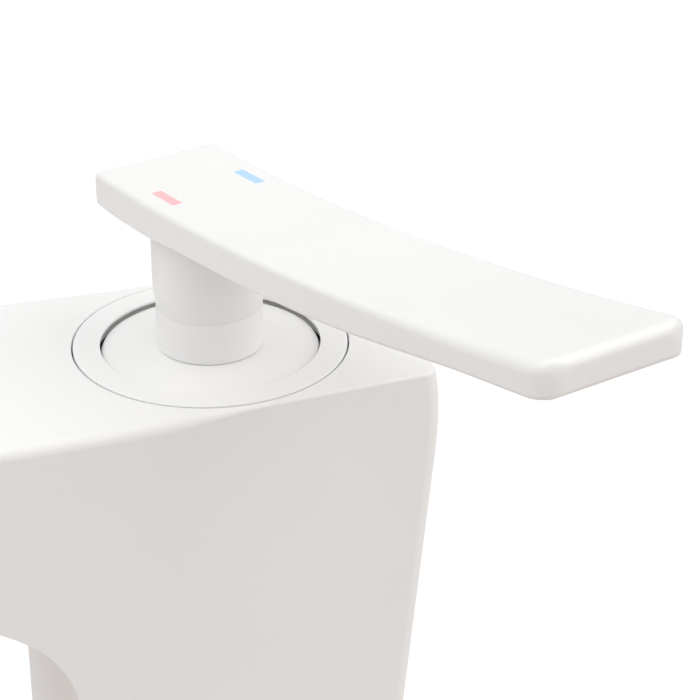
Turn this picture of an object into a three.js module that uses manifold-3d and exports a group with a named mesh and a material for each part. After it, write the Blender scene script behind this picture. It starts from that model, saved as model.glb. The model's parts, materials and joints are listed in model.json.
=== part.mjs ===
// Deck-mounted single-lever mixer tap with a side paddle lever, in millimetres, +Z up.
// Origin: the point of the worktop under the lever's turning axis. The spout points along -X.
import * as THREE from "three";
import { mergeVertices } from "three/addons/utils/BufferGeometryUtils.js";
import Module from "manifold-3d";

const wasm = await Module();
wasm.setup();

// ---- driving dimensions -------------------------------------------------------------------
const GAP = 0.3;                 // clearance between neighbouring pieces
const OVER = 2;                  // how far a cutter runs past what it cuts
const ROUND = 32;                // sides of a large round
const FINE = 64;                 // sides of the rounds that slide on each other
const SMALL = 16;                // sides of a small round
const RAD = Math.PI / 180;

// body
const TOP = 112;                 // top face of the body above the worktop
const GASKET = 1.5;              // base gasket, from the worktop up
const FOOT = GASKET + GAP;       // lower edge of the body shell
const WALL = 3;                  // body shell wall
const ROOF = 4.5;                // body shell wall under the top face
const SPOUT_HALF = 29.5;         // half depth of the arm
const END_HALF = 25.6;           // half depth towards the plain end
const WAIST = [-40, 45];         // the long sides swing in smoothly between these places
const PLAN_CORNER = 4;           // radius of the body's upright corners
const END_X = 36;              // plain end, at the top edge
const END_BULGE = 0.8;           // the plain end swells by this much just under the top edge
const END_BASE_X = 27;           // plain end at the worktop
const PILLAR_X = -34;            // pillar face under the spout
const SPOUT_X = -145;            // spout tip
const SPOUT_TIP = 14;            // thickness of the spout tip
const SPOUT_BEND = [[-40, -28], [-16, -34]];   // under the arm: offsets from PILLAR_X and TOP
const ARM_Z = 52;                // where the pillar starts to bend into the arm
const BASE_DEPTH = 26.2;         // half depth of the gasket
const PLATE_INSET = 3.4;         // base plate inside the foot of the shell
const PLATE_T = 5;

// trim ring and tilting cap
const RING_R = 26;
const RING_BORE = 20.67;
const RING_H = 3;
const RING_EDGE = 0.4;           // chamfer round the ring
const DISC_R = 20.3;             // rim of the cap's shallow disc
const DISC_DROP = 1;             // rim below the top face
const CROWN = 1;                 // the disc rises by this much from its rim to the collar
const PIVOT_DROP = 9.5;          // tilt axis below the rim
const DISC_Z = TOP - DISC_DROP;
const PIVOT_Z = DISC_Z - PIVOT_DROP;
const DOME_R = Math.hypot(DISC_R, PIVOT_DROP);
const DOME_WALL = 1.7;
const DOME_CLEAR = 0.6;          // ring to dome
const BODY_BORE = 24;            // hole in the body's roof that the cap moves in
const COLLAR_R = 10;
const COLLAR_TOP = DISC_Z + 9.2;
const SPINDLE_HOLE_R = 6;        // hole through the cap and the collar

// lever
const STEM_R = 10.5;
const STEM_TOP = TOP + 28;       // the stem ends inside the paddle
const LEVER_TURN = 15.6 * RAD;   // lever turned from -Y towards the plain end
const LEVER_ROOT = -19.2;        // lever ends, along the lever from its axis
const LEVER_TIP = 115.2;
const LEVER_HALF_ROOT = 13.1;    // the lever is a little wider at its tip
const LEVER_HALF_TIP = 13.95;
const LEVER_CORNER = 3;
const LEVER_RISE = [31.75, 0.0518, 9.9e-4, -1.4e-6];  // top face above the body: cubic along the lever
const LEVER_T = 5.9;             // lever thickness
const ROOT_TAPER = [6, 18];      // the thickness grows from this far past the root, over this length
const SCREW_Z = TOP + 17;        // grub screw height
const SCREW_R = 2.5;
const SCREW_L = 4.6;
const KEY_R = 1.3;               // hexagon socket in the grub screw
const SCREW_HOLE_R = 2.8;
const PLUG_T = 1.6;
const MARK_OFF = 8.7;            // marks: distance from the lever's centre line
const MARK_W = 2;
const MARK_FROM = -2.7;
const MARK_TO = 4.8;
const MARK_DEPTH = 0.5;
const MARK_CLEAR = 0.1;

// cartridge
const BLOCK_R = 22.4;            // valve block and its bores
const BLOCK_BOTTOM = 50;
const BLOCK_TOP = PIVOT_Z - 9;
const SEAT_Z = 64.5;
const SHOULDER_Z = 88;
const CARTRIDGE_R = 17.5;
const NECK_R = 13;
const CAVITY_R = 15;
const CAVITY_TOP = 86.2;
const NUT_R = 18.9;
const NUT_FLAT = 17;             // wrench flats from the axis
const PORT_R = 2.6;
const PORTS = [[-8, 0], [5, -7], [5, 7]];   // outlet, hot, cold
const SEAL_R = 4;
const SEAL_BORE = 2.8;
const SEAL_T = 1.4;
const BASE_TOP = 68.2;           // cartridge base, then the fixed and moving discs and the drive plate
const FIXED_DISC = [68.5, 73];
const MOVING_DISC = [73.3, 77.3];
const DRIVE_PLATE = [77.6, 83.4];
const DISC_TOP_R = 11;
const MIXING_R = 5.5;            // mixing chamber under the moving disc
const TURRET_FLANGE = [83.8, 85.9];
const TURRET_R = 10.9;
const STUB_R = 9;
const SLOT_W = 8.8;              // slot in the turret that the spindle tilts in
const SLOT_DEEP_W = 7.2;
const SLOT_DEEP_L = 16;
const PIN_R = 1.3;
const PIN_L = 16.4;
const SPINDLE = 8;               // square spindle bar
const SPINDLE_TOP = TOP + 22;
const HUB_R = 5.2;
const HUB_L = 8.2;
const ARM = 20;                  // spindle ball below the tilt axis
const ARM_T = 3.8;
const BALL_R = 2.9;
const ARM_LEAN = 10 * RAD;       // spindle arm leans back at rest by half the lift

// spout outlet
const AERATOR_X = -128;
const AERATOR_R = 11.8;
const AERATOR_BORE = 9.6;
const AERATOR_HOLE_R = 12.3;     // hole in the body for it
const AERATOR_PROUD = 3.5;       // it stands out below the spout by this much
const INSERT_R = 9.3;
const MESH_STEP = 3;             // square holes of the insert
const MESH_HOLE = 2.2;
const TUBE_SLOT_W = 7.2;
const WATERWAY_Z = 57;
const WATERWAY_R = 4;
const OUTLET_TUBE_R = 2.8;
const OUTLET_END = [-114.5, 101.5];

// fixing under the worktop
const SHANK_R = 16;
const SHANK_BORE = 13.4;
const SHANK_END = -62;
const CLAMP_Z = -30;             // underside of the thinnest worktop it is shown clamping
const WASHER_R = 26;
const WASHER_T = 3;
const CLAMP_WASHER_T = 2;
const NUT_SPAN = 25;             // mounting nut, axis to corner
const NUT_H = 10;
const TAIL_R = 4.4;
const TAIL_WALL = 1.4;
const TAIL_END = -92;
const TAIL_TOP = BLOCK_BOTTOM + 7.7;
const TAIL_NUT_R = 6.6;
const TAIL_NUT = [12, 20];       // union nut, from the tail's end

// ---- solids -------------------------------------------------------------------------------
const root = new THREE.Group();

function solid(geometry) {
  const bare = geometry.index ? geometry.toNonIndexed() : geometry.clone();
  bare.deleteAttribute("normal");
  bare.deleteAttribute("uv");
  const merged = mergeVertices(bare, 1e-4);
  return new wasm.Manifold(new wasm.Mesh({
    numProp: 3,
    vertProperties: new Float32Array(merged.attributes.position.array),
    triVerts: new Uint32Array(merged.index.array),
  }));
}

function geometryOf(manifold) {
  const mesh = manifold.getMesh();
  const geometry = new THREE.BufferGeometry();
  geometry.setAttribute("position", new THREE.BufferAttribute(mesh.vertProperties, 3));
  geometry.setIndex(new THREE.BufferAttribute(mesh.triVerts, 1));
  geometry.computeVertexNormals();
  return geometry;
}

const join = (first, ...rest) => rest.reduce((sum, next) => sum.add(next), first);
const cut = (first, ...rest) => rest.reduce((left, next) => left.subtract(next), first);

function turned(profile, sides = ROUND) {       // [radius, height] points, turned about Z
  const points = profile.map(([r, z]) => new THREE.Vector2(r, z));
  points.push(points[0].clone());
  return solid(new THREE.LatheGeometry(points, sides).rotateX(Math.PI / 2));
}

const rod = (r, low, high, sides = ROUND) =>
  solid(new THREE.CylinderGeometry(r, r, high - low, sides).rotateX(Math.PI / 2)
    .translate(0, 0, (low + high) / 2));
const crossRod = (r, length, z) =>              // along X through the turning axis
  solid(new THREE.CylinderGeometry(r, r, length, SMALL).rotateZ(Math.PI / 2).translate(0, 0, z));
const screwRod = (r, from, to, sides = SMALL) =>   // along Y at the grub screw's height
  solid(new THREE.CylinderGeometry(r, r, to - from, sides).translate(0, (from + to) / 2, SCREW_Z));
const pipe = (outer, inner, low, high, sides = ROUND) =>
  turned([[inner, low], [outer, low], [outer, high], [inner, high]], sides);
const block = (x0, x1, y0, y1, z0, z1) =>
  solid(new THREE.BoxGeometry(x1 - x0, y1 - y0, z1 - z0)
    .translate((x0 + x1) / 2, (y0 + y1) / 2, (z0 + z1) / 2));
const column = (width, depth, low, high) => block(-width / 2, width / 2, -depth / 2, depth / 2, low, high);
const upright = (shape, low, high) =>           // an XY outline, from low to high
  solid(new THREE.ExtrudeGeometry(shape, { depth: high - low, bevelEnabled: false, curveSegments: 8 })
    .translate(0, 0, low));
const crosswise = (shape, half) =>              // an XZ outline, half each way along Y
  solid(new THREE.ExtrudeGeometry(shape, { depth: 2 * half, bevelEnabled: false, curveSegments: 12 })
    .translate(0, 0, -half).rotateX(Math.PI / 2));

// A four-cornered outline with round corners: half depth a at x0 and b at x1.
function taperedOutline(x0, x1, a, b, r) {
  const shape = new THREE.Shape();
  shape.moveTo(x0 + r, -a);
  shape.lineTo(x1 - r, -b);
  shape.quadraticCurveTo(x1, -b, x1, -b + r);
  shape.lineTo(x1, b - r);
  shape.quadraticCurveTo(x1, b, x1 - r, b);
  shape.lineTo(x0 + r, a);
  shape.quadraticCurveTo(x0, a, x0, a - r);
  shape.lineTo(x0, -a + r);
  shape.quadraticCurveTo(x0, -a, x0 + r, -a);
  return shape;
}

function put(parent, name, manifold, color, roughness, metalness) {
  const material = new THREE.MeshStandardMaterial({ color, roughness, metalness });
  const mesh = new THREE.Mesh(geometryOf(manifold), material);
  mesh.name = name;
  parent.add(mesh);
}

const lacquer = (parent, name, manifold) => put(parent, name, manifold, 0xf2f1ef, 0.35, 0);
const brass = (name, manifold, parent = root) => put(parent, name, manifold, 0xc9a45c, 0.4, 1);
const steel = (name, manifold, parent = root) => put(parent, name, manifold, 0xb8bbbe, 0.35, 1);
const plastic = (name, manifold, parent = root) => put(parent, name, manifold, 0xd9dcdd, 0.5, 0);
const ceramic = (name, manifold, parent = root) => put(parent, name, manifold, 0xf4f2ea, 0.15, 0);
const rubber = (name, manifold) => put(root, name, manifold, 0x1d1e20, 0.8, 0);

// ---- body ---------------------------------------------------------------------------------
function halfDepthAt(x) {
  const t = THREE.MathUtils.smoothstep(x, ...WAIST);
  return SPOUT_HALF + (END_HALF - SPOUT_HALF) * t;
}

function planOutline(inset) {
  const right = END_X + END_BULGE - inset;
  const left = SPOUT_X + inset;
  const corner = PLAN_CORNER - inset / 2;
  const a = SPOUT_HALF - inset;
  const b = halfDepthAt(right) - inset;
  const steps = 9;
  const swing = [];
  for (let i = 0; i <= steps; i += 1) {
    const x = WAIST[0] + (right - corner - WAIST[0]) * i / steps;
    swing.push([x, halfDepthAt(x) - inset]);
  }
  const shape = new THREE.Shape();
  shape.moveTo(left + corner, -a);
  swing.forEach(([x, y]) => shape.lineTo(x, -y));
  shape.quadraticCurveTo(right, -b, right, -b + corner);
  shape.lineTo(right, b - corner);
  shape.quadraticCurveTo(right, b, right - corner, b);
  swing.reverse().forEach(([x, y]) => shape.lineTo(x, y));
  shape.lineTo(left + corner, a);
  shape.quadraticCurveTo(left, a, left, a - corner);
  shape.lineTo(left, -a + corner);
  shape.quadraticCurveTo(left, -a, left + corner, -a);
  return shape;
}

function sideOutline(inset, roof, low) {
  const soft = 2;                               // rounding of the top edges
  const high = TOP - roof;
  const left = PILLAR_X + inset;
  const tip = SPOUT_X + inset;
  const under = TOP - SPOUT_TIP + inset;
  const [knee, bend] = SPOUT_BEND;
  const shape = new THREE.Shape();
  shape.moveTo(left, low);
  shape.lineTo(END_BASE_X - inset, low);
  shape.lineTo(END_X + END_BULGE - inset, TOP - 4 * soft);
  shape.quadraticCurveTo(END_X + END_BULGE - inset, high, END_X - soft - inset, high);
  shape.lineTo(tip + soft, high);
  shape.quadraticCurveTo(tip, high, tip, high - soft);
  shape.lineTo(tip, under + soft / 2);
  shape.lineTo(tip + soft, under);
  shape.lineTo(PILLAR_X + knee[0], TOP + knee[1] + inset);
  shape.bezierCurveTo(PILLAR_X + bend[0], TOP + bend[1] + inset, left - 1, ARM_Z + 20, left, ARM_Z);
  shape.lineTo(left, low);
  return shape;
}

function bodyShell() {
  const widest = SPOUT_HALF + OVER;
  const outer = upright(planOutline(0), FOOT, TOP).intersect(crosswise(sideOutline(0, 0, FOOT), widest));
  const inner = upright(planOutline(WALL), 0, TOP).intersect(crosswise(sideOutline(WALL, ROOF, 0), widest));
  const under = TOP - SPOUT_TIP;
  return cut(outer, inner,
    rod(BODY_BORE, TOP - ROOF - OVER, TOP + OVER),
    rod(RING_R + GAP, TOP - RING_H - GAP, TOP + OVER),
    rod(AERATOR_HOLE_R, under - 8 * OVER, under + 3 * OVER).translate(AERATOR_X, 0, 0));
}

function body() {
  lacquer(root, "body_shell", bodyShell());
  const bottom = TOP - RING_H;
  const flare = Math.sqrt(DOME_R ** 2 - (bottom - PIVOT_Z) ** 2) + DOME_CLEAR;
  lacquer(root, "trim_ring", turned([
    [flare, bottom], [RING_R, bottom], [RING_R, TOP - RING_EDGE], [RING_R - RING_EDGE, TOP],
    [RING_BORE + GAP, TOP], [RING_BORE, TOP - GAP], [RING_BORE, TOP - 3 * GAP]], FINE));
  const edge = 0.8;                             // the gasket stays this far inside the foot of the shell
  const foot = taperedOutline(PILLAR_X + edge, END_BASE_X - edge, BASE_DEPTH, BASE_DEPTH, PLAN_CORNER);
  rubber("base_gasket", cut(upright(foot, 0, GASKET), rod(SHANK_R + 1, -OVER, GASKET + OVER)));
  const depth = BASE_DEPTH - PLATE_INSET;
  const plate = taperedOutline(PILLAR_X + PLATE_INSET, END_BASE_X - PLATE_INSET, depth, depth, WALL);
  const shankHole = rod(SHANK_R + GAP, 0, FOOT + PLATE_T + OVER);
  brass("base_plate", cut(upright(plate, FOOT, FOOT + PLATE_T), shankHole));
}

// ---- valve --------------------------------------------------------------------------------
function valve() {
  const [outletX] = PORTS[0];
  const inlets = PORTS.slice(1).map(([x, y]) =>
    join(rod(PORT_R, BLOCK_BOTTOM + 5, SEAT_Z + 1, SMALL), rod(TAIL_R + GAP, 40, TAIL_TOP + GAP, SMALL))
      .translate(x, y, 0));
  const outlet = rod(PORT_R, WATERWAY_Z, SEAT_Z + 1, SMALL).translate(outletX, 0, 0);
  const side = crossRod(WATERWAY_R, 16, WATERWAY_Z).translate(outletX - 6, 0, 0);
  brass("valve_block", cut(rod(BLOCK_R, BLOCK_BOTTOM, BLOCK_TOP),
    rod(CARTRIDGE_R + GAP, SEAT_Z, TOP), rod(NUT_R + GAP, SHOULDER_Z, TOP), outlet, side, ...inlets));

  const ports = PORTS.map(([x, y]) => rod(PORT_R, SEAT_Z, 80, SMALL).translate(x, y, 0));
  const pockets = PORTS.map(([x, y]) => rod(SEAL_R + GAP, SEAT_Z, SEAT_Z + OVER, SMALL).translate(x, y, 0));
  plastic("cartridge_base", cut(rod(CARTRIDGE_R, SEAT_Z + GAP, BASE_TOP), ...ports, ...pockets));
  PORTS.forEach(([x, y], i) => rubber(["outlet_seal", "hot_seal", "cold_seal"][i],
    pipe(SEAL_R, SEAL_BORE, SEAT_Z + GAP, SEAT_Z + GAP + SEAL_T, SMALL).translate(x, y, 0)));
  ceramic("fixed_disc", cut(rod(CAVITY_R - GAP, ...FIXED_DISC), ...ports));

  plastic("cartridge_housing", cut(
    join(rod(CARTRIDGE_R, BASE_TOP + GAP, SHOULDER_Z), rod(NECK_R, SHOULDER_Z - 1, PIVOT_Z - 2.3)),
    rod(CAVITY_R, BASE_TOP, CAVITY_TOP), rod(TURRET_R + GAP, CAVITY_TOP - OVER, TOP)));
  const flats = [0, 60, 120, 180, 240, 300].map((angle) =>
    block(-BLOCK_R, BLOCK_R, NUT_FLAT, BLOCK_R, SHOULDER_Z, PIVOT_Z).rotate([0, 0, angle]));
  brass("clamp_nut", cut(pipe(NUT_R, NECK_R + GAP, SHOULDER_Z + GAP, PIVOT_Z - 7), ...flats));
}

// ---- pieces that turn and tilt: built with the lever along -Y, then turned to the rest angle ----
const leverGroup = new THREE.Group();
leverGroup.rotation.z = LEVER_TURN;
root.add(leverGroup);

const pinHole = () => crossRod(PIN_R + GAP, 2 * CAVITY_R, PIVOT_Z);

function turret() {
  const tower = join(rod(CAVITY_R - GAP, ...TURRET_FLANGE), rod(TURRET_R, TURRET_FLANGE[0], PIVOT_Z - 2),
    rod(STUB_R, SHOULDER_Z, PIVOT_Z + 3.5));
  plastic("turret", cut(tower,
    column(SLOT_W, 2 * CAVITY_R, PIVOT_Z - 7.5, TOP),
    column(SLOT_DEEP_W, SLOT_DEEP_L, TURRET_FLANGE[0] - OVER, TOP), pinHole()), leverGroup);
  steel("pivot_pin", crossRod(PIN_R, PIN_L, PIVOT_Z), leverGroup);
}

function ceramicSlide() {
  const back = ARM * Math.sin(ARM_LEAN);        // the ball's place behind the axis at rest
  const [discLow, discHigh] = MOVING_DISC;
  const [plateLow, plateHigh] = DRIVE_PLATE;
  const chamber = rod(MIXING_R, discLow - 1, discLow + 2, SMALL);
  const disc = cut(rod(DISC_TOP_R, discLow, discHigh), chamber);
  ceramic("moving_disc", disc.translate(0, back, 0), leverGroup);
  const ballSocket = rod(BALL_R + GAP, plateLow + DOME_CLEAR, plateHigh + OVER, SMALL);
  const plate = cut(rod(DISC_TOP_R, plateLow, plateHigh), ballSocket);
  plastic("drive_plate", plate.translate(0, back, 0), leverGroup);
}

function spindle() {
  const bar = column(SPINDLE, SPINDLE, PIVOT_Z, SPINDLE_TOP);
  const hub = crossRod(HUB_R, HUB_L, PIVOT_Z);
  const ball = solid(new THREE.SphereGeometry(BALL_R, 16, 10)).translate(0, 0, -ARM);
  const arm = join(column(ARM_T, ARM_T, -ARM, 0), ball)
    .rotate([ARM_LEAN / RAD, 0, 0]).translate(0, 0, PIVOT_Z);
  const dimple = screwRod(SCREW_HOLE_R, SPINDLE / 2 - 0.4, SPINDLE);
  steel("spindle", cut(join(bar, hub, arm), pinHole(), dimple), leverGroup);
}

function domeCap() {
  const arc = [];
  for (let i = 0; i <= 5; i += 1) {
    const z = PIVOT_DROP * i / 5;
    arc.push([Math.sqrt(DOME_R ** 2 - z ** 2), PIVOT_Z + z]);
  }
  const innerR = DOME_R - DOME_WALL;
  const innerDrop = PIVOT_DROP - 2;
  const inner = [];
  for (let i = 0; i <= 4; i += 1) {
    const z = innerDrop * (1 - i / 4);
    inner.push([Math.sqrt(innerR ** 2 - z ** 2), PIVOT_Z + z]);
  }
  const crown = [[COLLAR_R, DISC_Z + CROWN], [SPINDLE_HOLE_R, DISC_Z + CROWN]];
  const profile = [...arc, ...crown, [SPINDLE_HOLE_R, PIVOT_Z + innerDrop], ...inner];
  lacquer(leverGroup, "dome_cap", turned(profile, FINE));
  lacquer(leverGroup, "neck_collar", pipe(COLLAR_R, SPINDLE_HOLE_R, DISC_Z + CROWN + GAP, COLLAR_TOP - GAP));
}

// ---- lever: its length is set out along -Y ------------------------------------------------
const riseAt = (s) => TOP + LEVER_RISE.reduce((sum, k, power) => sum + k * s ** power, 0);

function paddleSlice(from, to, above, below, half, x = 0) {   // a slab that follows the lever's top
  const steps = 24;
  const shape = new THREE.Shape();
  const at = (i) => from + (to - from) * i / steps;
  const [start, length] = ROOT_TAPER;
  const thin = (s) => Math.min(1, (s - LEVER_ROOT + start) / length);   // thinner at the root end
  shape.moveTo(at(0), riseAt(at(0)) + above);
  for (let i = 1; i <= steps; i += 1) shape.lineTo(at(i), riseAt(at(i)) + above);
  for (let i = steps; i >= 0; i -= 1) shape.lineTo(at(i), riseAt(at(i)) - below * thin(at(i)));
  return crosswise(shape, half).rotate([0, 0, -90]).translate(x, 0, 0);
}

function lever() {
  const plan = taperedOutline(LEVER_ROOT, LEVER_TIP, LEVER_HALF_ROOT, LEVER_HALF_TIP, LEVER_CORNER);
  const paddle = paddleSlice(LEVER_ROOT, LEVER_TIP, 0, LEVER_T, LEVER_HALF_TIP + OVER)
    .intersect(upright(plan, TOP, 2 * TOP).rotate([0, 0, -90]));
  const stem = rod(STEM_R, COLLAR_TOP, STEM_TOP);
  const side = SPINDLE + 2 * GAP;
  const socket = column(side, side, TOP, SPINDLE_TOP + GAP);
  const screwHole = screwRod(SCREW_HOLE_R, 0, 2 * STEM_R);
  const pocket = (sign) =>
    paddleSlice(MARK_FROM, MARK_TO, 1, MARK_DEPTH + MARK_CLEAR, MARK_W / 2, sign * MARK_OFF);
  lacquer(leverGroup, "lever", cut(join(paddle, stem), socket, screwHole, pocket(-1), pocket(1)));
  const mark = (sign) => paddleSlice(MARK_FROM + MARK_CLEAR, MARK_TO - MARK_CLEAR,
    -MARK_CLEAR / 5, MARK_DEPTH, MARK_W / 2 - MARK_CLEAR, sign * MARK_OFF);
  put(leverGroup, "hot_mark", mark(-1), 0xfbbdc1, 0.4, 0);
  put(leverGroup, "cold_mark", mark(1), 0xb3d7f7, 0.4, 0);
  const screwFrom = SPINDLE / 2 - 0.1;
  const key = screwRod(KEY_R, screwFrom + SCREW_L / 2, screwFrom + SCREW_L + OVER, 6);
  steel("set_screw", cut(screwRod(SCREW_R, screwFrom, screwFrom + SCREW_L), key), leverGroup);
  const plugEnd = STEM_R - GAP;
  lacquer(leverGroup, "screw_plug", screwRod(SCREW_R, plugEnd - PLUG_T, plugEnd));
}

// ---- spout outlet -------------------------------------------------------------------------
function outlet() {
  const under = TOP - SPOUT_TIP;
  const low = under - AERATOR_PROUD;
  const [outletX, outletZ] = OUTLET_END;
  const path = new THREE.CatmullRomCurve3([
    [-23.2, WATERWAY_Z], [-24.6, WATERWAY_Z], [-27.4, WATERWAY_Z + 1.4], [-28.7, WATERWAY_Z + 4.3],
    [-29.6, 67], [-33, 79], [-43, 90.5], [-62, 98], [-90, 101.2], [outletX + 2.5, outletZ],
    [outletX, outletZ],
  ].map(([x, z]) => new THREE.Vector3(x, 0, z)), false, "centripetal");
  const section = new THREE.Shape();
  section.absarc(0, 0, OUTLET_TUBE_R, 0, 2 * Math.PI);
  const line = new THREE.ExtrudeGeometry(section, { steps: 60, extrudePath: path, curveSegments: 4 });
  put(root, "outlet_tube", solid(line), 0xb87333, 0.4, 1);

  const edge = 0.2;
  const halfSlot = TUBE_SLOT_W / 2;
  const tubeWindow = block(AERATOR_BORE / 2, AERATOR_HOLE_R, -halfSlot, halfSlot, under + 2, under + 6.6);
  const housing = cut(turned([[AERATOR_BORE, low], [AERATOR_R - edge, low], [AERATOR_R, low + 0.7],
    [AERATOR_R, under + 8], [AERATOR_BORE, under + 8]]), tubeWindow);
  put(root, "aerator_housing", housing.translate(AERATOR_X, 0, 0), 0xc9cccf, 0.15, 1);
  const holes = [];
  for (let i = -2; i <= 2; i += 1) {
    for (let j = -2; j <= 2; j += 1) {
      const hole = column(MESH_HOLE, MESH_HOLE, low - OVER, under + 3 * OVER);
      if (Math.hypot(i, j) < 2.4) holes.push(hole.translate(i * MESH_STEP, j * MESH_STEP, 0));
    }
  }
  plastic("aerator_insert", cut(rod(INSERT_R, low + 1.1, under + 2), ...holes).translate(AERATOR_X, 0, 0));
  rubber("aerator_seal", pipe(INSERT_R, 6.5, under + 2 + GAP, under + 3.8).translate(AERATOR_X, 0, 0));
}

// ---- fixing under the worktop -------------------------------------------------------------
function fixing() {
  const clampTop = CLAMP_Z - WASHER_T - GAP;
  const nutTop = clampTop - CLAMP_WASHER_T - GAP;
  brass("shank", pipe(SHANK_R, SHANK_BORE, SHANK_END, BLOCK_BOTTOM - GAP));
  rubber("rubber_washer", pipe(WASHER_R, SHANK_R + GAP, CLAMP_Z - WASHER_T, CLAMP_Z));
  steel("clamp_washer", pipe(WASHER_R - 1, SHANK_R + GAP, clampTop - CLAMP_WASHER_T, clampTop));
  brass("mounting_nut", cut(rod(NUT_SPAN, nutTop - NUT_H, nutTop, 6),
    rod(SHANK_R + GAP, nutTop - NUT_H - OVER, nutTop + OVER)));
  PORTS.slice(1).forEach(([x, y], i) => {
    const side = ["hot", "cold"][i];
    const [nutFrom, nutTo] = TAIL_NUT.map((along) => TAIL_END + along);
    const tail = pipe(TAIL_R, TAIL_R - TAIL_WALL, TAIL_END, TAIL_TOP, SMALL);
    const thread = rod(TAIL_R + GAP, nutFrom - OVER, nutTo + OVER, SMALL);
    const nut = cut(rod(TAIL_NUT_R, nutFrom, nutTo, 6), thread);
    steel(side + "_tail_pipe", tail.translate(x, y, 0));
    brass(side + "_tail_nut", nut.translate(x, y, 0));
  });
}

body();
valve();
turret();
ceramicSlide();
spindle();
domeCap();
lever();
outlet();
fixing();

export default root;
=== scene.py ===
"""Looks for the single-lever mixer tap: soft-cornered lacquered castings built round the CAD frame."""
import json
import math

import bmesh
import bpy
from mathutils import Matrix, Vector


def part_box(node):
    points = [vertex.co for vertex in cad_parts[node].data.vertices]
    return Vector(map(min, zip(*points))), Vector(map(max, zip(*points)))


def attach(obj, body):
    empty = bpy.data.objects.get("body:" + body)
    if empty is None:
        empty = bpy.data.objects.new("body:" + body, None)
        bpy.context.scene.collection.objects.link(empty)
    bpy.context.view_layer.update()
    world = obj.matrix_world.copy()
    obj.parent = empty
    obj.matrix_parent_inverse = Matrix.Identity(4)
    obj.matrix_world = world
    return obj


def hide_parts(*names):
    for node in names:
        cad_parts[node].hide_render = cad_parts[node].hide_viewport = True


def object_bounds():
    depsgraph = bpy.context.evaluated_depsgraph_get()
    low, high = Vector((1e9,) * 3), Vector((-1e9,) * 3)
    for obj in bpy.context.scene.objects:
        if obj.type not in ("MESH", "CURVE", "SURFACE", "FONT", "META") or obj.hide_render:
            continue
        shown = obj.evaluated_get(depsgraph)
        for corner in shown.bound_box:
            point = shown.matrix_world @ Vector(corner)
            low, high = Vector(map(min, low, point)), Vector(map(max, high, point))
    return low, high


MM = 0.001

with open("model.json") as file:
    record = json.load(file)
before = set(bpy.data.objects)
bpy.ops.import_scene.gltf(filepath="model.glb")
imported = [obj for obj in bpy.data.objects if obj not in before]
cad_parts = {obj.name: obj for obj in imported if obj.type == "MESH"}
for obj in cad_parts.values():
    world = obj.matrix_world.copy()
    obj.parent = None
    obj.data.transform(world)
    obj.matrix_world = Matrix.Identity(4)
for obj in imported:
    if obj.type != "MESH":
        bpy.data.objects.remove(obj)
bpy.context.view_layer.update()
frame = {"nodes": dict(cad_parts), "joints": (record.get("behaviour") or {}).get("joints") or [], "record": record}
for imported in list(bpy.data.materials):
    bpy.data.materials.remove(imported)    # the frame's flat colours: every piece gets its own finish below


# ---- places taken from the frame, in millimetres ---------------------------------------------
def joint(name):
    return next(j for j in frame["joints"] if j["name"] == name)


def corners(node):
    low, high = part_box(node)
    return low / MM, high / MM


RING_LOW, RING_HIGH = corners("trim_ring")
TOP = RING_HIGH.z                          # top face of the body
RING_R = (RING_HIGH.x - RING_LOW.x) / 2
RING_H = RING_HIGH.z - RING_LOW.z
CAP_LOW, CAP_HIGH = corners("dome_cap")
CROWN = 1.0                                # the cap's disc rises this much from its rim to the collar
DISC_Z = CAP_HIGH.z - CROWN
PIVOT_Z = Vector(joint("flow_lift")["pos_m"]).z / MM
DOME_R = (CAP_HIGH.x - CAP_LOW.x) / 2
DISC_R = math.sqrt(DOME_R ** 2 - (DISC_Z - PIVOT_Z) ** 2)
COLLAR_LOW, COLLAR_HIGH = corners("neck_collar")
COLLAR_R = (COLLAR_HIGH.x - COLLAR_LOW.x) / 2
PAD = 0.35                                 # gaps that touching CAD pieces keep, closed up here
SHELL_LOW = corners("body_shell")[0]
AERATOR_LOW, AERATOR_HIGH = corners("aerator_housing")
AERATOR = (AERATOR_LOW + AERATOR_HIGH) / 2
LEVER_DIR = Vector(joint("disc_slide")["axis"])
LEVER_FRAME = Matrix.Rotation(math.atan2(LEVER_DIR.x, -LEVER_DIR.y), 4, "Z")

# ---- mesh helpers ----------------------------------------------------------------------------
MERGE = 1e-5
CUT_MERGE = 1e-3                           # after a cut
AUTO_SMOOTH = math.radians(32)
SHARP = math.radians(40)                   # edges that turn more than this get rounded
OVER = 4.0                                 # cutters stand out of the face they cut by this much


def publish(name, bm, material, body, nodes, matrix=None, sharp=AUTO_SMOOTH):
    """Turns a bmesh in millimetres into a piece in metres that rides on a CAD body."""
    bmesh.ops.recalc_face_normals(bm, faces=bm.faces)
    mesh = bpy.data.meshes.new(name)
    bm.to_mesh(mesh)
    bm.free()
    mesh.transform(Matrix.Scale(MM, 4))
    if matrix is not None:
        mesh.transform(matrix)
    mesh.materials.append(material)
    for polygon in mesh.polygons:
        polygon.use_smooth = True
    mesh.set_sharp_from_angle(angle=sharp)
    piece = bpy.data.objects.new(name, mesh)
    bpy.context.scene.collection.objects.link(piece)
    flat = piece.modifiers.new("flat_faces_stay_flat", "WEIGHTED_NORMAL")
    flat.mode = "FACE_AREA_WITH_ANGLE"
    flat.weight = 90
    flat.keep_sharp = True
    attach(piece, body)
    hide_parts(*nodes)
    return piece


def loft(rings, closed=False):
    """A skin over rings of points that all have the same count; open lofts get flat end caps."""
    bm = bmesh.new()
    made = [[bm.verts.new(point) for point in ring] for ring in rings]
    count = len(rings[0])
    pairs = list(zip(made, made[1:]))
    if closed:
        pairs.append((made[-1], made[0]))
    for here, there in pairs:
        for i in range(count):
            j = (i + 1) % count
            bm.faces.new((here[i], here[j], there[j], there[i]))
    if not closed:
        bm.faces.new(list(reversed(made[0])))
        bm.faces.new(made[-1])
    return bm


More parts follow.
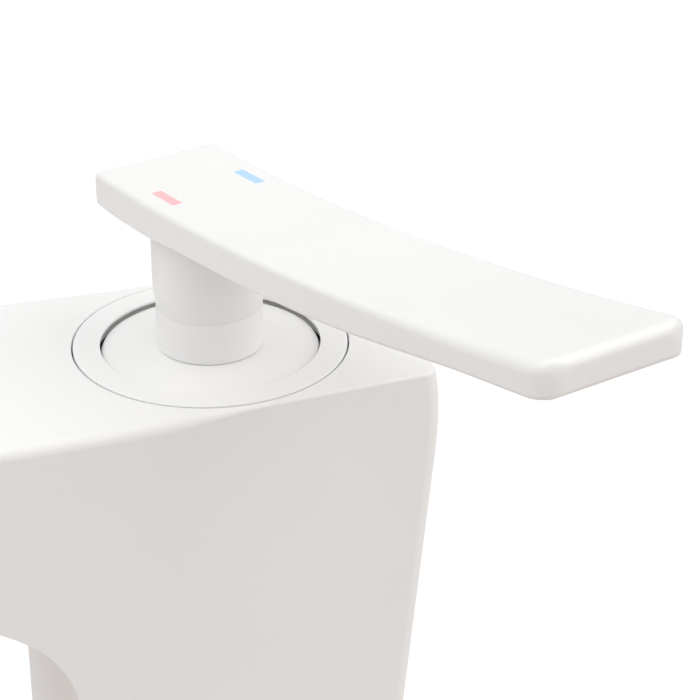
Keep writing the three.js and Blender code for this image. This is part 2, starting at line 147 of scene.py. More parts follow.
def turned(profile, sides=128, centre=(0, 0)):
    """A closed outline of (radius, height) points turned about the vertical through centre.
    A profile that isn't round is given as a function of the angle."""
    rings = []
    for k in range(sides):
        angle = 2 * math.pi * k / sides
        c, s = math.cos(angle), math.sin(angle)
        outline = profile(angle) if callable(profile) else profile
        rings.append([(centre[0] + r * c, centre[1] + r * s, z) for r, z in outline])
    bm = loft(rings, closed=True)
    bmesh.ops.remove_doubles(bm, verts=bm.verts, dist=MERGE)
    return bm


def rounded(outline, radius, steps=4):
    """The closed outline with every corner turned into an arc-like curve of about that radius.
    An outline point may carry its own radius as a third value."""
    out = []
    for i, point in enumerate(outline):
        before, here, after = (Vector(outline[i - 1][:2]), Vector(point[:2]),
                               Vector(outline[(i + 1) % len(outline)][:2]))
        r = point[2] if len(point) > 2 else radius
        a, b = before - here, after - here
        if r <= 0:
            out.append(tuple(here))
            continue
        half = a.angle(b) / 2
        reach = min(r / math.tan(half), 0.49 * a.length, 0.49 * b.length)
        start, end = here + a.normalized() * reach, here + b.normalized() * reach
        for k in range(steps + 1):
            t = k / steps
            out.append(tuple((1 - t) ** 2 * start + 2 * t * (1 - t) * here + t ** 2 * end))
    return out


def bezier(points, steps):
    p0, p1, p2, p3 = (Vector(p) for p in points)
    for k in range(1, steps + 1):
        t = k / steps
        yield tuple((1 - t) ** 3 * p0 + 3 * t * (1 - t) ** 2 * p1 + 3 * t * t * (1 - t) * p2 + t ** 3 * p3)


def smoothstep(low, high, x):
    t = min(1, max(0, (x - low) / (high - low)))
    return t * t * (3 - 2 * t)


def carve(bm, cutters):
    """Subtracts the cutter meshes from bm with the exact boolean solver."""
    def holder(source, name):
        bmesh.ops.recalc_face_normals(source, faces=source.faces)
        mesh = bpy.data.meshes.new(name)
        source.to_mesh(mesh)
        source.free()
        obj = bpy.data.objects.new(name, mesh)
        bpy.context.scene.collection.objects.link(obj)
        return obj

    target = holder(bm, "carve_target")
    made = [holder(cutter, "carve_cutter") for cutter in cutters]
    for cutter in made:
        modifier = target.modifiers.new("cut", "BOOLEAN")
        modifier.operation = "DIFFERENCE"
        modifier.solver = "EXACT"
        modifier.object = cutter
    bpy.context.view_layer.update()
    result = bmesh.new()
    result.from_object(target, bpy.context.evaluated_depsgraph_get())
    for obj in [target, *made]:
        mesh = obj.data
        bpy.data.objects.remove(obj)
        bpy.data.meshes.remove(mesh)
    bmesh.ops.dissolve_degenerate(result, dist=CUT_MERGE, edges=result.edges)
    bmesh.ops.remove_doubles(result, verts=result.verts, dist=CUT_MERGE)
    return result


# ---- materials -------------------------------------------------------------------------------
def new_material(name, color, roughness, metallic=0.0, coat=0.0, coat_roughness=0.1, specular=0.5):
    material = bpy.data.materials.new(name)
    material.use_nodes = True
    shader = material.node_tree.nodes["Principled BSDF"]
    shader.inputs["Base Color"].default_value = (*color, 1)
    shader.inputs["Roughness"].default_value = roughness
    shader.inputs["Metallic"].default_value = metallic
    shader.inputs["Coat Weight"].default_value = coat
    shader.inputs["Coat Roughness"].default_value = coat_roughness
    shader.inputs["Specular IOR Level"].default_value = specular
    return material, material.node_tree, shader


def noise(tree, scale, detail=2.0, stretch=(1, 1, 1), roughness=0.5):
    """A noise texture on the piece's own coordinates, in metres."""
    coords = tree.nodes.new("ShaderNodeTexCoord")
    mapping = tree.nodes.new("ShaderNodeMapping")
    mapping.inputs["Scale"].default_value = stretch
    texture = tree.nodes.new("ShaderNodeTexNoise")
    texture.inputs["Scale"].default_value = scale
    texture.inputs["Detail"].default_value = detail
    texture.inputs["Roughness"].default_value = roughness
    tree.links.new(coords.outputs["Object"], mapping.inputs["Vector"])
    tree.links.new(mapping.outputs["Vector"], texture.inputs["Vector"])
    return texture.outputs["Fac"]


def vary(tree, source, low, high, target):
    """Maps a 0..1 source to low..high on a number or colour socket."""
    if isinstance(low, (int, float)):
        node = tree.nodes.new("ShaderNodeMapRange")
        node.inputs["From Min"].default_value = 0.3
        node.inputs["From Max"].default_value = 0.7
        node.inputs["To Min"].default_value = low
        node.inputs["To Max"].default_value = high
        tree.links.new(source, node.inputs["Value"])
        tree.links.new(node.outputs["Result"], target)
        return
    node = tree.nodes.new("ShaderNodeValToRGB")
    node.color_ramp.elements[0].position = 0.3
    node.color_ramp.elements[0].color = (*low, 1)
    node.color_ramp.elements[1].position = 0.7
    node.color_ramp.elements[1].color = (*high, 1)
    tree.links.new(source, node.inputs["Fac"])
    tree.links.new(node.outputs["Color"], target)


def bump(tree, shader, sources, distance):
    """Chains height sources, each with its own strength, into the shader's normal."""
    normal = None
    for height, strength in sources:
        node = tree.nodes.new("ShaderNodeBump")
        node.inputs["Strength"].default_value = strength
        node.inputs["Distance"].default_value = distance
        tree.links.new(height, node.inputs["Height"])
        if normal is not None:
            tree.links.new(normal, node.inputs["Normal"])
        normal = node.outputs["Normal"]
    tree.links.new(normal, shader.inputs["Normal"])


def shade(color, factor):
    return tuple(min(1, c * factor) for c in color)


def lacquer(name, color, roughness=0.34):
    """Satin lacquer on a casting: faint orange peel, and a slow drift of gloss and tone."""
    material, tree, shader = new_material(name, color, roughness, coat=0.12, coat_roughness=0.22)
    drift = noise(tree, 22, 2)
    vary(tree, drift, shade(color, 0.985), shade(color, 1.008), shader.inputs["Base Color"])
    vary(tree, noise(tree, 60, 3), roughness - 0.03, roughness + 0.04, shader.inputs["Roughness"])
    bump(tree, shader, [(noise(tree, 700, 2), 0.05), (noise(tree, 120, 2), 0.05)], 0.0002)
    return material


def metal(name, color, roughness, streak=(1, 1, 1), grain=900, depth=0.06):
    material, tree, shader = new_material(name, color, roughness, metallic=1.0)
    vary(tree, noise(tree, 45, 3), shade(color, 0.86), shade(color, 1.06), shader.inputs["Base Color"])
    lines = noise(tree, grain, 4, streak)
    vary(tree, lines, roughness * 0.75, roughness * 1.3, shader.inputs["Roughness"])
    bump(tree, shader, [(lines, depth)], 0.0002)
    return material


def moulded(name, color, roughness=0.5):
    material, tree, shader = new_material(name, color, roughness)
    vary(tree, noise(tree, 80, 2), shade(color, 0.95), shade(color, 1.03), shader.inputs["Base Color"])
    vary(tree, noise(tree, 300, 3), roughness - 0.08, roughness + 0.08, shader.inputs["Roughness"])
    bump(tree, shader, [(noise(tree, 1800, 2), 0.1)], 0.0001)
    return material


def print_ink(name, color):
    """Pad-printed ink: a hair uneven, so a little of the white shows."""
    material, tree, shader = new_material(name, color, 0.42)
    vary(tree, noise(tree, 2600, 3), shade(color, 0.97), shade(color, 1.05), shader.inputs["Base Color"])
    bump(tree, shader, [(noise(tree, 2200, 2), 0.08)], 0.00005)
    return material


WHITE = (0.885, 0.882, 0.876)
body_lacquer = lacquer("body_lacquer", WHITE)
ring_lacquer = lacquer("ring_lacquer", WHITE)
cap_lacquer = lacquer("cap_lacquer", shade(WHITE, 1.01))
lever_lacquer = lacquer("lever_lacquer", (0.858, 0.858, 0.852), 0.36)
hot_print = print_ink("hot_print", (0.93, 0.50, 0.52))
cold_print = print_ink("cold_print", (0.44, 0.67, 0.90))
seal_rubber = moulded("seal_rubber", (0.03, 0.03, 0.032), 0.75)
cast_brass = metal("cast_brass", (0.72, 0.50, 0.22), 0.32, (1, 1, 6))
steel = metal("steel", (0.55, 0.56, 0.57), 0.3, (1, 1, 12))
copper = metal("copper", (0.72, 0.33, 0.18), 0.3)
outlet_chrome = metal("outlet_chrome", (0.72, 0.73, 0.75), 0.09, (1, 1, 1), 300, 0.02)
valve_plastic = moulded("valve_plastic", (0.62, 0.64, 0.66))
insert_plastic = moulded("insert_plastic", (0.75, 0.75, 0.75))
disc_ceramic = moulded("disc_ceramic", (0.86, 0.84, 0.79), 0.2)

FINISHES = {m.name: m for m in (body_lacquer, ring_lacquer, cap_lacquer, lever_lacquer, hot_print, cold_print,
                                seal_rubber, cast_brass, steel, copper, outlet_chrome, valve_plastic,
                                insert_plastic, disc_ceramic)}


def finish_frame():
    """Each CAD node takes its slot's procedural finish."""
    for row in frame["record"]["subparts"]:
        node = frame["nodes"][row["node"]]
        node.data.materials.clear()
        node.data.materials.append(FINISHES[row["material_slot"]])


# ---- body ------------------------------------------------------------------------------------
SPOUT_HALF = 29.2                          # half depth of the arm
END_HALF = 25.4                            # and of the plain end
WAIST = (-40.0, 45.0)                      # the flanks swing in between these places
END_X = 36.4                               # plain end, at the top edge
END_BASE_X = 27.0
UPRIGHT_R = 3.0                            # upright corners
TOP_EDGE_R = 0.55                          # round the top face
FULLER = 3.0                               # the long top edges grow softer by this share towards the arm
EDGE_R = 1.0                               # every other edge
SPOUT_X = SHELL_LOW.x
SPOUT_TIP = 14.0
PILLAR_X = -34.0
ARM_Z = 52.0
BODY_BORE = 24.0
WALL = 3.0
ROOF = 4.5
BODY_BORE_DEPTH = 12.0
OUTLET_R = 12.3                            # hole for the aerator
OUTLET_DEPTHS = (30.0, 8.0)                # its ends, below the top face
KNEE_OUT = 40.0                            # the arm's underside is flat beyond here, from the pillar
KNEE_DROP = 28.0
END_SWELL = ((0.3, 18.0), (1.1, 10.5), (0.9, 5.0))   # how far the plain end stands out, at each depth
STATIONS = 18                              # cuts across the block that let the flanks bend
STATION_GAP = 1.5                          # the last one stays clear of the corner's rounding
SEAM = 0.25                                # groove round the trim ring
PROUD = 0.12                               # the ring stands up this much


def half_depth(x):
    return SPOUT_HALF - (SPOUT_HALF - END_HALF) * smoothstep(*WAIST, x)


def side_outline(inset, roof, foot):
    """The body seen from the side, anticlockwise from the foot of the pillar's spout face."""
    left, high = PILLAR_X + inset, TOP - roof
    knee = (PILLAR_X - KNEE_OUT, TOP - KNEE_DROP + inset)
    swell = [(END_X + out - inset, TOP - depth) for out, depth in END_SWELL]
    points = [(left, foot), (END_BASE_X - inset, foot), swell[0]]
    points += bezier([*swell, (END_X - inset, high)], 10)
    points += [(SPOUT_X + inset, high), (SPOUT_X + inset, TOP - SPOUT_TIP + inset), knee]
    points += bezier([knee, (PILLAR_X - 16, TOP - 34 + inset), (left - 1, ARM_Z + 20), (left, ARM_Z)], 22)
    return points


def body_block(inset, roof, foot):
    """The side outline stretched between the two waisted flanks."""
    points = side_outline(inset, roof, foot)
    bm = loft([[(x, side, z) for x, z in points] for side in (-1, 1)])
    for k in range(STATIONS):
        x = WAIST[0] + (END_X - UPRIGHT_R - STATION_GAP - WAIST[0]) * k / (STATIONS - 1)
        bmesh.ops.bisect_plane(bm, geom=[*bm.verts, *bm.edges, *bm.faces],
                               plane_co=(x, 0, 0), plane_no=(1, 0, 0))
    for vert in bm.verts:
        vert.co.y *= half_depth(vert.co.x) - inset
    return bm


def sharp_edges(bm, angle, test=lambda edge: True):
    return [e for e in bm.edges if len(e.link_faces) == 2 and e.calc_face_angle() > angle and test(e)]


def bevel(bm, edges, width, segments):
    bmesh.ops.bevel(bm, geom=edges, offset=width, offset_type="OFFSET", segments=segments,
                    profile=0.5, affect="EDGES", clamp_overlap=True)


def on_upright_corner(edge):
    """True for the near and far edges of the plain end and of the spout's tip."""
    a, b = (v.co for v in edge.verts)
    same_side = a.y * b.y > 0
    on_end = min(a.x, b.x) > END_BASE_X - 1 and not (abs(a.z - b.z) < 0.01)
    return same_side and (on_end or max(a.x, b.x) < SPOUT_X + 1)


def on_top(edge):
    return all(v.co.z > TOP - 0.01 for v in edge.verts)


def soften_towards_arm(bm):
    """Widens the rounding of the two long top edges, from the plain end to the arm."""
    for vert in bm.verts:
        x, y, z = vert.co
        inward, down = half_depth(x) - abs(y), TOP - z
        if x < SPOUT_X + UPRIGHT_R + 1 or max(inward, down) > TOP_EDGE_R + 0.01:
            continue
        grow = 1 + FULLER * smoothstep(2, -16, x)
        vert.co.y = math.copysign(half_depth(x) - inward * grow, y)
        vert.co.z = TOP - down * grow


def make_body():
    bm = body_block(0, 0, SHELL_LOW.z)
    bmesh.ops.recalc_face_normals(bm, faces=bm.faces)
    bevel(bm, sharp_edges(bm, SHARP, on_upright_corner), UPRIGHT_R, 8)
    bevel(bm, sharp_edges(bm, SHARP, on_top), TOP_EDGE_R, 6)
    soften_towards_arm(bm)
    bevel(bm, sharp_edges(bm, SHARP), EDGE_R, 4)
    cavity = body_block(WALL, ROOF, 0)
    bore = turned([(0.0, TOP - BODY_BORE_DEPTH), (BODY_BORE, TOP - BODY_BORE_DEPTH),
                   (BODY_BORE, TOP + OVER), (0.0, TOP + OVER)])
    lip = RING_R + 0.02
    recess = turned([(0.0, TOP - RING_H - 0.3), (lip, TOP - RING_H - 0.3), (lip, TOP - 0.25),
                     (lip + 0.08, TOP - 0.08), (lip + 0.3, TOP + 0.05), (lip + 0.3, TOP + OVER),
                     (0.0, TOP + OVER)], 160)
    below, above = (TOP - depth for depth in OUTLET_DEPTHS)
    outlet = turned([(0.0, below), (OUTLET_R, below), (OUTLET_R, above), (0.0, above)], 96,
                    (AERATOR.x, AERATOR.y))
    publish("body_casting", carve(bm, [cavity, recess, bore, outlet]), body_lacquer, "tap_body",
            ["body_shell"])


def make_ring():
    """Trim ring with a thin lip over a hollow seat, so the gap round the tilting cap stays dark."""
    bottom = TOP - RING_H
    bore = DISC_R + 0.37
    seat = math.sqrt(DOME_R ** 2 - (bottom - PIVOT_Z) ** 2) + 0.6
    top = TOP + PROUD
    outline = rounded([(seat, bottom, 0.1), (RING_R - SEAM, bottom, 0.2), (RING_R - SEAM, top, 0.3),
                       (bore, top, 0.12), (bore + 0.05, TOP - 0.4, 0.1), (seat + 1.2, TOP - 1.5, 0.3),
                       (seat + 1.2, bottom + 0.8, 0.3)], 0.2)
    publish("trim_ring_turned", turned(outline, 160), ring_lacquer, "tap_body",
            ["trim_ring"])


# ---- lever and cap ---------------------------------------------------------------------------
LEVER_HALF = (13.15, 0.0066)                # half width at the axis, and its growth along the lever
LEVER_ROOT = -19.3
LEVER_TIP = 114.8
RISE = (31.7, 0.0518, 9.9e-4, -1.2e-6)     # top face above the body, as a cubic along the lever
THICKNESS = 6.3                            # between the stem and the slimmer stretch
STEM_SWELL = 0.6                           # thicker over the stem, fading in and out over these places
STEM_FADE_IN, STEM_FADE_OUT = (-22, -10), (0, 14)
SLIMMING = 0.8                             # slimmer along the paddle
SLIM_FADE = (52, 92)
TIP_SWELL = 0.7                            # and fuller again at the tip
TIP_FADE = (92, 118)
END_ROUND = (2.0, 3.9)                     # plan corners at the root and at the tip
TOP_ROUND = (2.0, 2.0)
LOW_ROUND = (1.9, 1.0)
TOP_SOFT = (1.0, 1.1)                      # rounding of the long top edges, and its growth towards the tip
TOP_SOFT_FADE = (50, 112)
LOW_SOFT = 0.8
CORNER_STEPS = 6                           # facets in each quarter-round of the section
MIDDLE_STEPS = 64                          # sections between the two ends


def rise_at(s):
    return TOP + sum(k * s ** power for power, k in enumerate(RISE))


def thickness_at(s):
    over_stem = smoothstep(*STEM_FADE_IN, s) - smoothstep(*STEM_FADE_OUT, s)
    return (THICKNESS + STEM_SWELL * over_stem - SLIMMING * smoothstep(*SLIM_FADE, s)
            + TIP_SWELL * smoothstep(*TIP_FADE, s))


def arc_drop(radius, distance):
    """How far a quarter-round of that radius has fallen away at a distance inside its end."""
    if distance >= radius:
        return 0.0
    return radius - math.sqrt(max(0.0, radius ** 2 - (radius - distance) ** 2))


def lever_ring(s):
    """The lever's cross-section at s, as points across (x), along (-y) and up (z)."""
    inside = max(0.0, min(s - LEVER_ROOT, LEVER_TIP - s))
    end = 0 if s - LEVER_ROOT < LEVER_TIP - s else 1
    half = LEVER_HALF[0] + LEVER_HALF[1] * s - arc_drop(END_ROUND[end], inside)
    high = rise_at(s) - arc_drop(TOP_ROUND[end], inside)
    low = rise_at(s) - thickness_at(s) + arc_drop(LOW_ROUND[end], inside)
    room = 0.49 * (high - low)
    soft = min(TOP_SOFT[0] + TOP_SOFT[1] * smoothstep(*TOP_SOFT_FADE, s), room)
    under = min(LOW_SOFT, room)
    ring = []
    for side, level, radius, start in ((1, low, under, -90), (1, high, soft, 0), (-1, high, soft, 90),
                                       (-1, low, under, 180)):
        for k in range(CORNER_STEPS + 1):
            angle = math.radians(start + 90 / CORNER_STEPS * k)
            inward = -radius if level == high else radius
            ring.append((side * (half - radius) + radius * math.cos(angle), -s,
                         level + inward + radius * math.sin(angle)))
    return ring


def lever_stations():
    """Close together round the two ends, where the corners turn, and even in between."""
    steps = 14
    ends = [[max(END_ROUND[i], TOP_ROUND[i]) * (1 - math.cos(math.pi / 2 * k / steps))
             for k in range(steps + 1)] for i in (0, 1)]
    body_from, body_to = LEVER_ROOT + ends[0][-1], LEVER_TIP - ends[1][-1]
    middle = [body_from + (body_to - body_from) * k / MIDDLE_STEPS for k in range(1, MIDDLE_STEPS)]
    return [LEVER_ROOT + e for e in ends[0]] + middle + [LEVER_TIP - e for e in reversed(ends[1])]


STEM_R = 10.4
SCREW_Z = TOP + 17
SCREW_R = 2.8
SCREW_FROM, SCREW_TO = 4.0, 20.0           # the grub screw's hole, from inside the stem to past its back
SPINDLE_SIDE = 4.3                         # half the socket's width
SOCKET_TOP = TOP + 22.3
STEM_TOP = TOP + 28                        # inside the paddle


def make_lever():
    paddle = loft([lever_ring(s) for s in lever_stations()])
    publish("lever_paddle", paddle, lever_lacquer, "lever", ["lever"], LEVER_FRAME)
    foot = COLLAR_HIGH.z + PAD
    outline = rounded([(0.0, foot, 0), (COLLAR_R, foot, 0.03), (STEM_R, foot + 3.5, 3.0),
                       (STEM_R, STEM_TOP, 0), (0.0, STEM_TOP, 0)], 0.3)
    stem = turned(outline)
    hole = turned([(0.0, SCREW_FROM), (SCREW_R, SCREW_FROM), (SCREW_R, SCREW_TO), (0.0, SCREW_TO)], 48)
    backwards = Matrix.Translation((0, 0, SCREW_Z)) @ Matrix.Rotation(math.radians(-90), 4, "X")
    bmesh.ops.transform(hole, matrix=backwards, verts=hole.verts)
    s = SPINDLE_SIDE
    socket = loft([[(-s, -s, z), (s, -s, z), (s, s, z), (-s, s, z)] for z in (foot - 5, SOCKET_TOP)])
    publish("lever_stem", carve(stem, [hole, socket]), lever_lacquer, "lever", ["lever"],
            LEVER_FRAME)


MARK_L, MARK_W = 7.6, 1.95
MARK_SUNK, MARK_PROUD = 0.1, 0.035         # the print's depth under the paint and its height above


def make_marks():
    for name, side, material in (("hot_mark", -1, hot_print), ("cold_mark", 1, cold_print)):
        low, high = corners(name)
        centre = LEVER_FRAME.inverted() @ ((low + high) / 2)
        rings = []
        for k in range(9):
            s = -centre.y + MARK_L * (k / 8 - 0.5)
            z = rise_at(s)
            x0, x1 = centre.x - MARK_W / 2, centre.x + MARK_W / 2
            rings.append([(x0, -s, z - MARK_SUNK), (x1, -s, z - MARK_SUNK),
                          (x1, -s, z + MARK_PROUD), (x0, -s, z + MARK_PROUD)])
        publish(name + "_print", loft(rings), material, "lever", [name], LEVER_FRAME)


CAP_WALL = 1.7
CAP_BORE = 6.0                             # clearance round the spindle


def make_cap():
    drop = DISC_Z - PIVOT_Z
    outer = [(math.sqrt(DOME_R ** 2 - (drop * k / 12) ** 2), PIVOT_Z + drop * k / 12) for k in range(12)]
    crown_z = DISC_Z + CROWN
    rim = rounded([outer[-1], (DISC_R, DISC_Z, 0.3), (COLLAR_R, crown_z, 0), (CAP_BORE, crown_z, 0)], 0)
    inner_r = DOME_R - CAP_WALL
    levels = [(drop - 2) * (1 - k / 8) for k in range(9)]
    inner = [(math.sqrt(inner_r ** 2 - z ** 2), PIVOT_Z + z) for z in levels]
    outline = outer[:-1] + rim + [(CAP_BORE, DISC_Z - 2)] + inner
    publish("dome_cap_turned", turned(outline, 160), cap_lacquer, "lever", ["dome_cap"])
    foot = crown_z + 0.12
    seam = COLLAR_HIGH.z + PAD - 0.03
    outline = rounded([(CAP_BORE, foot, 0), (COLLAR_R, foot, 0.15), (COLLAR_R, seam, 0.03),
                       (CAP_BORE, seam, 0)], 0)
    publish("neck_collar_turned", turned(outline), cap_lacquer, "lever", ["neck_collar"])


# ---- aerator, gasket and the fixing under the worktop -----------------------------------------
NUT_STEPS = 6                              # rows in a nut's turned-off corners
NUT_LEAD = 0.6                             # chamfer inside its bore
WASHER_BORE = 16.3
NUT_CORNER_R = 25.0
UNION_CORNER_R = 6.6
UNION_BORE = 4.6
GASKET_BORE = 17.0
GASKET_CORNER = 4.0
TAIL_WALL = 1.4
AERATOR_BORE = 9.6


def disc_of(node):
    """Centre in plan, outer radius, lowest and highest place of a round node."""
    low, high = corners(node)
    return (low.x + high.x) / 2, (low.y + high.y) / 2, (high.y - low.y) / 2, low.z, high.z


def make_washer(name, node, bore, material, soft):
    x, y, radius, low, high = disc_of(node)
    outline = [(bore, low), (radius, low), (radius, high), (bore, high)]
    publish(name, turned(rounded(outline, soft), 128, (x, y)), material, "tap_body", [node])


def make_hex_nut(name, node, corner_r, bore, material):
    """A hexagon nut whose corners are turned off by a 30 degree chamfer at both ends."""
    x, y, _, low, high = disc_of(node)
    flat_r = corner_r * math.cos(math.pi / 6)
    slope = math.sqrt(3)
    fall = (corner_r - flat_r) / slope

    def profile(angle):
        side = flat_r / math.cos((angle + math.pi / 6) % (math.pi / 3) - math.pi / 6)
        points = [(bore, low + NUT_LEAD), (bore + NUT_LEAD, low)]
        rising = [(min(side, flat_r + slope * fall * k / NUT_STEPS), low + fall * k / NUT_STEPS)
                  for k in range(NUT_STEPS + 1)]
        points += rising + [(r, low + high - z) for r, z in reversed(rising)]
        return points + [(bore + NUT_LEAD, high), (bore, high - NUT_LEAD)]

    publish(name, turned(profile, 144, (x, y)), material, "tap_body", [node], sharp=math.radians(24))


SHANK_BORE = 13.4
THREAD_PITCH = 2.0
THREAD_DEPTH = 0.75


def make_shank():
    """The threaded shank: a real helix from just under the gasket down to a short plain lead."""
    x, y, radius, low, high = disc_of("shank")
    sides, rows = 72, 8
    start, stop = low + 1.5, -3.0
    levels = [low, low + 0.8, start]
    turns = int((stop - start) / THREAD_PITCH * rows)
    levels += [start + THREAD_PITCH * k / rows for k in range(1, turns + 1)]
    levels += [levels[-1] + 0.6, high - 0.6, high]

    def outer(angle, z):
        if z in (low, high):
            return radius - THREAD_DEPTH
        wave = (z / THREAD_PITCH - angle / (2 * math.pi)) % 1
        tooth = min(1, max(0, 1.35 - 3.6 * abs(wave - 0.5)))
        fade = smoothstep(start, start + THREAD_PITCH, z) * smoothstep(stop, stop - THREAD_PITCH, z)
        return radius - THREAD_DEPTH * (1 - tooth) * fade

    rings = []
    for k in range(sides):
        angle = 2 * math.pi * k / sides
        c, s = math.cos(angle), math.sin(angle)
        skin = [(outer(angle, z), z) for z in levels]
        skin += [(SHANK_BORE + 0.6, high), (SHANK_BORE, high - 0.6)]
        skin += [(SHANK_BORE, low + 0.6), (SHANK_BORE + 0.6, low)]
        rings.append([(x + r * c, y + r * s, z) for r, z in skin])
    bm = loft(rings, closed=True)
    publish("shank_threaded", bm, cast_brass, "tap_body", ["shank"], sharp=SHARP)


def rounded_box_distance(angle, x0, x1, half, r):
    """From the origin to the side of a round-cornered box, along the angle."""
    low, high = 0.0, 100.0
    for _ in range(30):
        d = (low + high) / 2
        px, py = d * math.cos(angle), d * math.sin(angle)
        over_x = max(x0 + r - px, px - (x1 - r), 0)
        over_y = max(abs(py) - (half - r), 0)
        if math.hypot(over_x, over_y) < r:
            low = d
        else:
            high = d
    return low


def make_gasket():
    """Rubber gasket with a rounded outer bead and a soft inner edge round the shank."""
    low, high = corners("base_gasket")
    bore = GASKET_BORE

    def profile(angle):
        edge = rounded_box_distance(angle, low.x, high.x, high.y, GASKET_CORNER)
        return rounded([(bore, low.z), (edge, low.z), (edge, high.z), (bore, high.z)], 0.45, 3)

    publish("base_gasket_moulded", turned(profile, 240), seal_rubber, "tap_body",
            ["base_gasket"])


def make_tails():
    for side in ("hot", "cold"):
        x, y, radius, low, high = disc_of(side + "_tail_pipe")
        bore = radius - TAIL_WALL
        bead = low + 9
        outline = rounded([(bore, low, 0.3), (radius - 0.2, low, 0.4), (radius - 0.2, bead - 0.6, 0.2),
                           (radius + 0.15, bead, 0.3), (radius - 0.05, bead + 0.6, 0.2),
                           (radius - 0.05, high, 0.3), (bore, high, 0.3)], 0.3)
        publish(side + "_tail_drawn", turned(outline, 64, (x, y)), steel, "tap_body",
                [side + "_tail_pipe"])
        make_hex_nut(side + "_union_nut", side + "_tail_nut", UNION_CORNER_R, UNION_BORE,
                     cast_brass)


def make_aerator():
    """Chromed outlet housing with a rounded lip and a shallow groove above it."""
    x, y, radius, low, high = disc_of("aerator_housing")
    bore, groove = AERATOR_BORE, radius - 0.45
    outline = rounded([(bore, low, 0.25), (radius - 0.5, low, 0.3), (radius, low + 0.9, 0.5),
                       (radius, low + 2.4, 0.4), (groove, low + 2.8, 0.2), (groove, low + 3.3, 0.2),
                       (radius, low + 3.7, 0.2), (radius, high, 0.2), (bore, high, 0.2)], 0.2)
    publish("aerator_housing_turned", turned(outline, 128, (x, y)), outlet_chrome, "tap_body",
            ["aerator_housing"])


def make_plug():
    """Domed plug in the grub screw's hole, at the back of the stem."""
    low, high = corners("screw_plug")
    middle = LEVER_FRAME.inverted() @ ((low + high) / 2)
    outline = rounded([(0.0, -0.8, 0), (2.45, -0.8, 0.2), (2.45, 0.55, 0.3), (1.4, 0.85, 1.0),
                       (0.0, 0.9, 0)], 0.2, 5)
    plug = turned(outline, 48)
    place = Matrix.Translation(middle) @ Matrix.Rotation(math.radians(-90), 4, "X")
    bmesh.ops.transform(plug, matrix=place, verts=plug.verts)
    publish("screw_plug_domed", plug, lever_lacquer, "lever", ["screw_plug"],
            LEVER_FRAME)


finish_frame()
make_body()
make_ring()
make_lever()
make_marks()
make_cap()
make_gasket()
make_shank()
make_washer("rubber_washer_moulded", "rubber_washer", WASHER_BORE, seal_rubber, 0.8)
make_washer("clamp_washer_pressed", "clamp_washer", WASHER_BORE, steel, 0.35)
make_hex_nut("mounting_nut_machined", "mounting_nut", NUT_CORNER_R, WASHER_BORE, cast_brass)
make_tails()
make_aerator()
make_plug()

# ---- camera, light and stage -----------------------------------------------------------------
SENSOR = 36
LENS = 118.29                              # millimetres, on that sensor
CAM_ELEVATION = math.radians(27.44)
CAM_AZIMUTH = math.radians(-18.65)
CAM_DISTANCE = 0.4319                      # from the lens to the aim, along the view
AIM = Vector((24.58, -9.12, TOP - 1.5))    # the middle of the view, right of the trim ring
FLOOR_SIZE = 30                            # metres, as the next two
FLOOR_GAP = 0.002                          # under the lowest point of the part
BACKDROP_R = 25


def make_camera():
    away = Vector((-math.sin(CAM_AZIMUTH), math.cos(CAM_AZIMUTH), 0))
    right = Vector((math.cos(CAM_AZIMUTH), math.sin(CAM_AZIMUTH), 0))
    forward = away * math.cos(CAM_ELEVATION) - Vector((0, 0, math.sin(CAM_ELEVATION)))
    up = right.cross(forward)
    data = bpy.data.cameras.new("camera")
    data.sensor_width = SENSOR
    data.lens = LENS
    data.clip_start = 0.01
    camera = bpy.data.objects.new("camera", data)
    bpy.context.scene.collection.objects.link(camera)
    turn = Matrix((right, up, -forward)).transposed().to_4x4()
    place = AIM * MM - forward * CAM_DISTANCE
    camera.matrix_world = Matrix.Translation(place) @ turn
    bpy.context.scene.camera = camera


LAMPS = (("key_lamp", -100, 60, 60, 1.05, (1.0, 1.0, 1.0)),
         ("fill_lamp", 68, 37, 70, 1.0, (1.0, 0.985, 0.965)))


def make_world():
    """A light tent: bright above, dimmer towards and below the horizon."""
    world = bpy.data.worlds.new("studio")
    bpy.context.scene.world = world
    world.use_nodes = True
    tree = world.node_tree
    coords = tree.nodes.new("ShaderNodeTexCoord")
    split = tree.nodes.new("ShaderNodeSeparateXYZ")
    ramp = tree.nodes.new("ShaderNodeValToRGB")
    half = tree.nodes.new("ShaderNodeMath")
    half.operation = "MULTIPLY_ADD"
    half.inputs[1].default_value = 0.5
    half.inputs[2].default_value = 0.5
    tree.links.new(coords.outputs["Generated"], split.inputs["Vector"])
    tree.links.new(split.outputs["Z"], half.inputs[0])
    tree.links.new(half.outputs["Value"], ramp.inputs["Fac"])
    stops = ((0.0, (0.665, 0.615, 0.583)), (0.46, (0.685, 0.642, 0.618)), (0.60, (0.68, 0.68, 0.68)),
             (1.0, (0.72, 0.72, 0.72)))
    while len(ramp.color_ramp.elements) < len(stops):
        ramp.color_ramp.elements.new(0.5)
    for element, (position, color) in zip(ramp.color_ramp.elements, stops):
        element.position = position
        element.color = (*color, 1)
    background = tree.nodes["Background"]
    tree.links.new(ramp.outputs["Color"], background.inputs["Color"])
    background.inputs["Strength"].default_value = 1.0


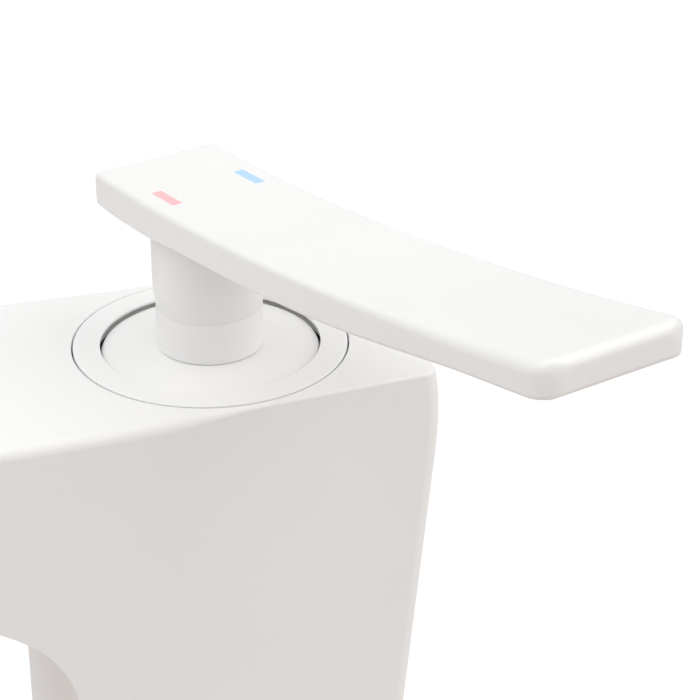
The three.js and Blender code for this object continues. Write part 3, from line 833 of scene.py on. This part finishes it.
def make_lamps():
    """Broad soft lamps, each given by where it stands as azimuth (0 is in front) and elevation."""
    for name, azimuth, elevation, spread, strength, tint in LAMPS:
        data = bpy.data.lights.new(name, "SUN")
        data.energy = strength
        data.angle = math.radians(spread)
        data.color = tint
        lamp = bpy.data.objects.new(name, data)
        a, e = math.radians(azimuth), math.radians(elevation)
        towards = Vector((math.sin(a) * math.cos(e), -math.cos(a) * math.cos(e), math.sin(e)))
        lamp.rotation_euler = towards.to_track_quat("Z", "Y").to_euler()
        bpy.context.scene.collection.objects.link(lamp)


def stage_only(obj):
    """Seen by the camera, but it throws no light and no reflection on the tap."""
    obj.visible_diffuse = False
    obj.visible_glossy = False
    obj.visible_transmission = False
    obj.visible_shadow = False


def make_stage():
    material = bpy.data.materials.new("pale_backdrop")
    material.use_nodes = True
    tree = material.node_tree
    tree.nodes.clear()
    glow = tree.nodes.new("ShaderNodeEmission")
    output = tree.nodes.new("ShaderNodeOutputMaterial")
    glow.inputs["Color"].default_value = (1, 1, 1, 1)
    glow.inputs["Strength"].default_value = 1.05
    tree.links.new(glow.outputs["Emission"], output.inputs["Surface"])
    floor_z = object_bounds()[0][2] - FLOOR_GAP
    bm = bmesh.new()
    bmesh.ops.create_grid(bm, x_segments=1, y_segments=1, size=FLOOR_SIZE,
                          matrix=Matrix.Translation((0, 0, floor_z)))
    mesh = bpy.data.meshes.new("floor")
    bm.to_mesh(mesh)
    bm.free()
    mesh.materials.append(material)
    floor = bpy.data.objects.new("floor", mesh)
    bpy.context.scene.collection.objects.link(floor)
    stage_only(floor)
    bm = bmesh.new()
    bmesh.ops.create_uvsphere(bm, u_segments=32, v_segments=16, radius=BACKDROP_R)
    mesh = bpy.data.meshes.new("backdrop")
    bm.to_mesh(mesh)
    bm.free()
    mesh.materials.append(material)
    backdrop = bpy.data.objects.new("backdrop", mesh)
    bpy.context.scene.collection.objects.link(backdrop)
    stage_only(backdrop)


make_camera()
make_world()
make_lamps()
make_stage()
bpy.context.scene.view_settings.view_transform = "Standard"
